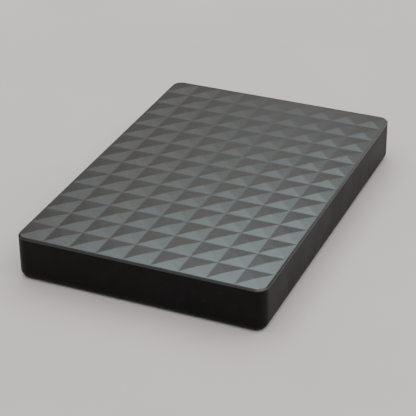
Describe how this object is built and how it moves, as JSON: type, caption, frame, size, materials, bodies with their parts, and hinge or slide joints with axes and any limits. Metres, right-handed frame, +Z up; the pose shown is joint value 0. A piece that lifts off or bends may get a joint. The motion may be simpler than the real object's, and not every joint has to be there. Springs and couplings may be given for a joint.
{
  "type": "portable external hard drive",
  "caption": "Slim black portable hard drive: lid of shallow pyramid facets, plain rounded side walls, data port in one short end, with a disk stack and head arm that turn inside.",
  "frame": {"origin": "centre of the flat underside", "axes": "+Z up through the faceted lid, +Y along the length towards the port, +X across the width"},
  "size_m": [0.08, 0.1172, 0.0148],
  "materials": {
    "shell_plastic": "satin black moulded plastic",
    "bumper_rubber": "matt black soft rubber",
    "light_guide": "clear moulded rod",
    "circuit_board": "green solder mask",
    "socket_steel": "plated stamped steel",
    "connector_plastic": "black connector plastic",
    "gold_contact": "gold flash",
    "chip_epoxy": "moulded black epoxy",
    "ferrite": "dark pressed ferrite",
    "chip_ceramic": "fired ceramic",
    "lamp_lens": "white lamp body",
    "cast_aluminium": "die cast, machined faces",
    "cover_steel": "stamped sheet",
    "gasket_foam": "black foam",
    "turned_steel": "turned and ground",
    "stator_steel": "laminated sheet",
    "copper_wire": "enamelled copper wire",
    "yoke_nickel": "nickel plated plate",
    "magnet_nickel": "nickel plated magnet",
    "ramp_plastic": "ivory engineering plastic",
    "flex_film": "amber film",
    "filter_cloth": "white filter felt",
    "hub_aluminium": "fine turned",
    "platter_mirror": "polished disk"
  },
  "bodies": {
    "enclosure": {"top_cover": "shell_plastic", "base_case": "shell_plastic", "bumper_front_left": "bumper_rubber", "bumper_front_right": "bumper_rubber", "bumper_rear_left": "bumper_rubber", "bumper_rear_right": "bumper_rubber", "stop_sleeves": "bumper_rubber", "light_pipe": "light_guide", "bridge_board": "circuit_board", "drive_pcb": "circuit_board", "usb_shell": "socket_steel", "bridge_crystal": "socket_steel", "usb_insulator": "connector_plastic", "sata_receptacle": "connector_plastic", "sata_plug": "connector_plastic", "flex_bracket": "connector_plastic", "usb_contacts": "gold_contact", "sata_contacts": "gold_contact", "bridge_controller": "chip_epoxy", "bridge_flash": "chip_epoxy", "drive_controller": "chip_epoxy", "motor_driver": "chip_epoxy", "cache_memory": "chip_epoxy", "bridge_inductor": "ferrite", "bridge_capacitors": "chip_ceramic", "activity_led": "lamp_lens", "drive_base": "cast_aluminium", "drive_cover": "cover_steel", "cover_screws": "cover_steel", "pcb_screws": "cover_steel", "ramp_screw": "cover_steel", "cover_gasket": "gasket_foam", "bearing_sleeve": "turned_steel", "pivot_shaft": "turned_steel", "yoke_posts": "turned_steel", "stator_core": "stator_steel", "stator_coils": "copper_wire", "lower_yoke": "yoke_nickel", "upper_yoke": "yoke_nickel", "lower_magnet": "magnet_nickel", "upper_magnet": "magnet_nickel", "ramp": "ramp_plastic", "flex_cable": "flex_film", "recirculation_filter": "filter_cloth", "breather_filter": "filter_cloth"},
    "disk_stack": {"spindle_hub": "hub_aluminium", "spindle_shaft": "turned_steel", "rotor_magnet": "magnet_nickel", "lower_platter": "platter_mirror", "upper_platter": "platter_mirror", "disk_spacer": "hub_aluminium", "disk_clamp": "hub_aluminium", "clamp_screw": "cover_steel"},
    "head_stack": {"arm_block": "cast_aluminium", "pivot_sleeve": "turned_steel", "pivot_bearings": "turned_steel", "voice_coil": "copper_wire", "coil_frame": "ramp_plastic", "suspensions": "cover_steel", "head_sliders": "chip_ceramic"}
  },
  "joints": [
    {"name": "spindle_spin", "type": "hinge", "parent": "enclosure", "child": "disk_stack", "pos_m": [0, -0.01912, 0.007], "axis": [0, 0, 1], "continuous": true},
    {"name": "actuator_swing", "type": "hinge", "parent": "enclosure", "child": "head_stack", "pos_m": [-0.01443, 0.02053, 0.008], "axis": [0, 0, -1], "range_deg": [0, 31.4]}
  ]
}
